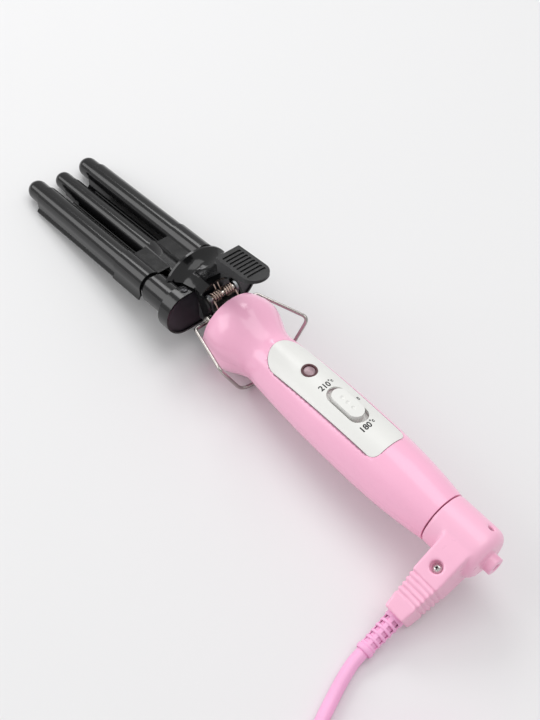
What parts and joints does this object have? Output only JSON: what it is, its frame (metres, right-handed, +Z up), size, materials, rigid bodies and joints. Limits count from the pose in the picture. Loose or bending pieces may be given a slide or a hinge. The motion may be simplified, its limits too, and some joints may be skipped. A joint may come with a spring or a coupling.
{
  "type": "triple-barrel hair waver",
  "caption": "Clamp-type hair waver with parallel heated barrels, a sprung thumb lever, a wire rest, a slide switch and a swivelling side cord outlet.",
  "frame": {"origin": "on the table under the middle of the iron, measured without the free cord and its plug", "axes": "+X along the iron to the cord end, +Y to the side away from the cord outlet, +Z up from the table"},
  "size_m": [0.4901, 0.1729, 0.0691],
  "materials": {
    "handle_pink": "gloss",
    "housing_pink": "gloss",
    "panel_white": "satin",
    "knob_white": "satin",
    "bezel_maroon": "gloss",
    "lens_rose": "gloss",
    "lamp_amber": "gloss",
    "jaw_black": "gloss",
    "barrel_black": "gloss",
    "head_black": "gloss",
    "plate_dark": "satin",
    "press_black": "satin",
    "screw_steel": "bright",
    "bracket_zinc": "zinc plated",
    "rivet_nickel": "bright",
    "spring_copper": "copper flash",
    "stand_chrome": "bright",
    "heater_core": "plain",
    "neck_grey": "satin",
    "switch_black": "matt",
    "board_green": "satin",
    "disc_brown": "matt",
    "lead_red": "satin",
    "cord_lilac": "satin",
    "tie_black": "matt",
    "plug_lilac": "satin",
    "pin_nickel": "nickel plated"
  },
  "bodies": {
    "handle": {"handle_top": "handle_pink", "handle_bottom": "handle_pink", "handle_screws": "screw_steel", "control_panel": "panel_white", "lamp_bezel": "bezel_maroon", "lamp_lens": "lens_rose", "lamp_body": "lamp_amber", "switch_body": "switch_black", "circuit_board": "board_green", "contact_disc": "disc_brown", "supply_leads": "lead_red", "base_bracket": "bracket_zinc", "bracket_screw": "screw_steel", "head_band": "head_black", "head_plate": "plate_dark", "head_screws": "screw_steel", "ferrules": "head_black", "left_barrel": "barrel_black", "right_barrel": "barrel_black", "barrel_heaters": "heater_core", "lower_trough": "barrel_black", "pivot_rivets": "rivet_nickel", "spring_pin": "rivet_nickel", "lever_springs": "spring_copper"},
    "lever": {"yoke": "jaw_black", "left_shell": "jaw_black", "right_shell": "jaw_black", "middle_barrel": "barrel_black", "middle_cover": "jaw_black", "middle_heater": "heater_core", "thumb_press": "press_black", "press_rivets": "screw_steel"},
    "stand": {"wire_stand": "stand_chrome"},
    "switch": {"switch_knob": "knob_white"},
    "cord_end": {"swivel_neck": "neck_grey", "housing_top": "housing_pink", "housing_bottom": "housing_pink", "housing_screw": "screw_steel", "inner_cord": "cord_lilac", "strain_relief": "cord_lilac", "cord_tube": "cord_lilac", "cord_coil": "cord_lilac", "cord_tie": "tie_black", "plug_body": "plug_lilac", "plug_pins": "pin_nickel"}
  },
  "joints": [
    {"name": "lever", "type": "hinge", "parent": "handle", "child": "lever", "pos_m": [-0.01491, 0.00734, 0.02494], "axis": [0, 1, 0], "range_deg": [0, 40], "stiffness_Nm_per_rad": 0.5, "springref_deg": -34.38, "deforming": ["lever_springs"]},
    {"name": "stand_fold", "type": "hinge", "parent": "handle", "child": "stand", "pos_m": [-0.01491, 0.00734, 0.02494], "axis": [0, 1, 0], "range_deg": [-8, 115]},
    {"name": "switch_slide", "type": "slide", "parent": "handle", "child": "switch", "axis": [0.9993, 0, 0.0376], "range_m": [-0.0025, 0.0025]},
    {"name": "cord_swivel", "type": "hinge", "parent": "handle", "child": "cord_end", "pos_m": [0.14152, 0.00734, 0.0263], "axis": [0.9993, 0, 0.0376], "continuous": true}
  ]
}
